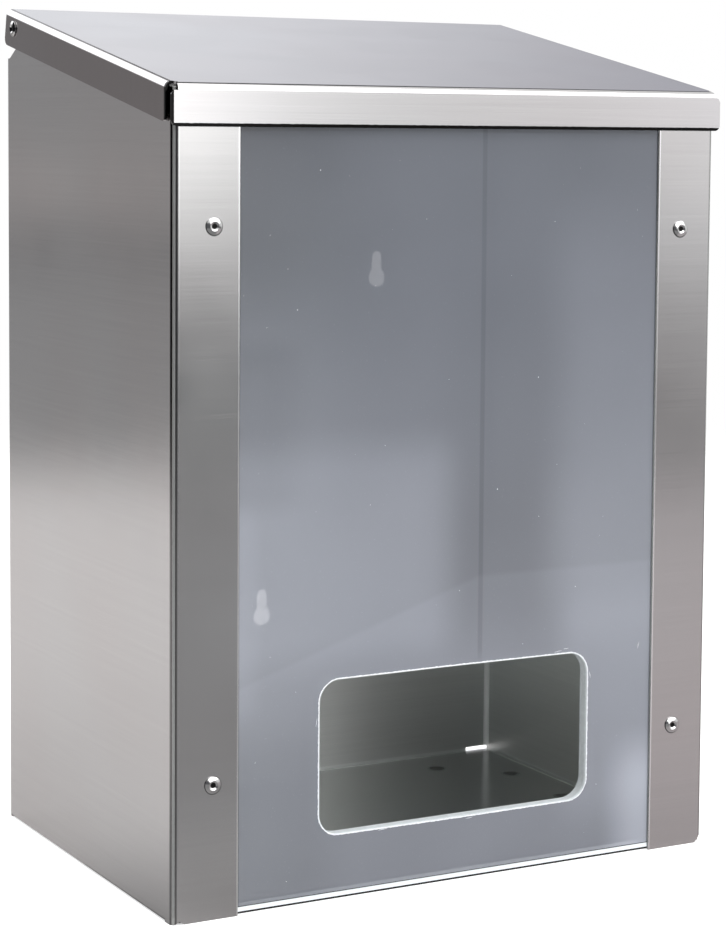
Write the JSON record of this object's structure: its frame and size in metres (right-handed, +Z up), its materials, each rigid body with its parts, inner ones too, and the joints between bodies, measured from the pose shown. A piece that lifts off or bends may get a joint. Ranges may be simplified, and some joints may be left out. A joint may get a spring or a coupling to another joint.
{
  "type": "disposable glove dispenser",
  "caption": "Wall dispenser for disposable gloves: folded steel housing, clear front sheet with a rounded hand opening low down, and a sloped hinged lid for refilling.",
  "frame": {"origin": "bottom, in the middle of the overall width and depth, with the lid closed", "axes": "+Z up, +X to the right as seen from the front, -Y out of the clear front"},
  "size_m": [0.2558, 0.1768, 0.3557],
  "materials": {
    "housing_steel": "brushed stainless sheet, grain running across the front returns and up the sides",
    "lid_steel": "brushed stainless sheet, grain running across the width",
    "floor_steel": "dull stainless sheet",
    "clear_acrylic": "clear gloss sheet with bright frosted cut edges",
    "rivet_metal": "polished dome",
    "mandrel_steel": "dark broken stem",
    "washer_steel": "plain bright washer"
  },
  "bodies": {
    "dispenser": {"housing": "housing_steel", "floor_plate": "floor_steel", "window": "clear_acrylic", "window_rivet_lower_left": "rivet_metal", "window_rivet_lower_right": "rivet_metal", "window_rivet_upper_left": "rivet_metal", "window_rivet_upper_right": "rivet_metal", "hinge_rivet_left": "rivet_metal", "hinge_rivet_right": "rivet_metal", "window_rivet_mandrel_lower_left": "mandrel_steel", "window_rivet_mandrel_lower_right": "mandrel_steel", "window_rivet_mandrel_upper_left": "mandrel_steel", "window_rivet_mandrel_upper_right": "mandrel_steel", "hinge_rivet_mandrel_left": "mandrel_steel", "hinge_rivet_mandrel_right": "mandrel_steel", "window_washer_lower_left": "washer_steel", "window_washer_lower_right": "washer_steel", "window_washer_upper_left": "washer_steel", "window_washer_upper_right": "washer_steel", "hinge_washer_left": "washer_steel", "hinge_washer_right": "washer_steel"},
    "lid": {"lid": "lid_steel"}
  },
  "joints": [
    {"name": "lid_hinge", "type": "hinge", "parent": "dispenser", "child": "lid", "pos_m": [0, 0.0744, 0.34692], "axis": [-1, 0, 0], "range_deg": [0, 100]}
  ]
}
